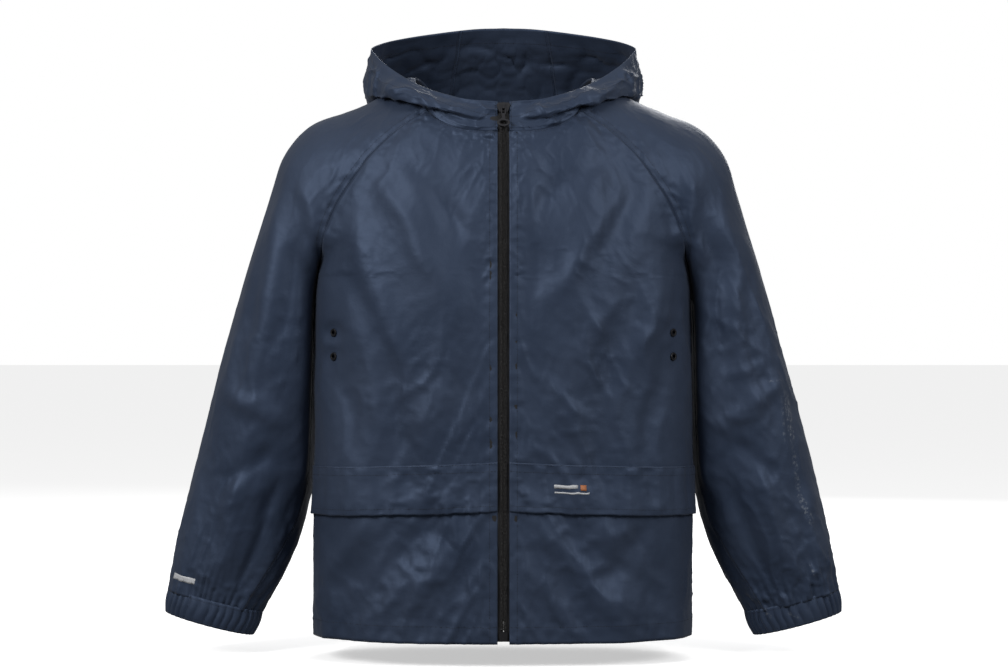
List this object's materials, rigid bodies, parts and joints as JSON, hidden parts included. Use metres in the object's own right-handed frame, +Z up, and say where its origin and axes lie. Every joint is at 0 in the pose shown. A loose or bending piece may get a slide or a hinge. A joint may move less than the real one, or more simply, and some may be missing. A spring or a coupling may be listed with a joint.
{
  "type": "windbreaker jacket",
  "caption": "Hooded windbreaker jacket with raglan sleeves, full zip, gathered cuffs and a flap across the lower front, filled out as if worn.",
  "frame": {"origin": "middle of the neck's base, level with the high points of the shoulders, where the wearer's shoulders hold the jacket up", "axes": "+X to the wearer's left, +Y to the back, +Z up"},
  "size_m": [0.8172, 0.3139, 0.7454],
  "materials": {
    "coated_cloth": "semi-gloss coated polyester",
    "zip_tape": "woven tape",
    "zip_coil": "satin nylon coil",
    "dark_metal": "gunmetal plating"
  },
  "bodies": {
    "jacket": {"front_left": "coated_cloth", "front_right": "coated_cloth", "back": "coated_cloth", "sleeve_left": "coated_cloth", "sleeve_right": "coated_cloth", "cuff_left": "coated_cloth", "cuff_right": "coated_cloth", "flap_left": "coated_cloth", "flap_right": "coated_cloth", "hood_left": "coated_cloth", "hood_right": "coated_cloth", "hood_centre": "coated_cloth", "zip_tape_left": "zip_tape", "zip_tape_right": "zip_tape", "zip_coil_left": "zip_coil", "zip_coil_right": "zip_coil", "zip_slider": "dark_metal", "zip_box": "dark_metal", "eyelet_left_upper": "dark_metal", "eyelet_left_lower": "dark_metal", "eyelet_right_upper": "dark_metal", "eyelet_right_lower": "dark_metal"},
    "pull": {"zip_pull": "dark_metal"}
  },
  "joints": [
    {"name": "pull_swing", "type": "hinge", "parent": "jacket", "child": "pull", "pos_m": [0, -0.09434, -0.03508], "axis": [-1, 0, 0], "range_deg": [0, 160]}
  ]
}
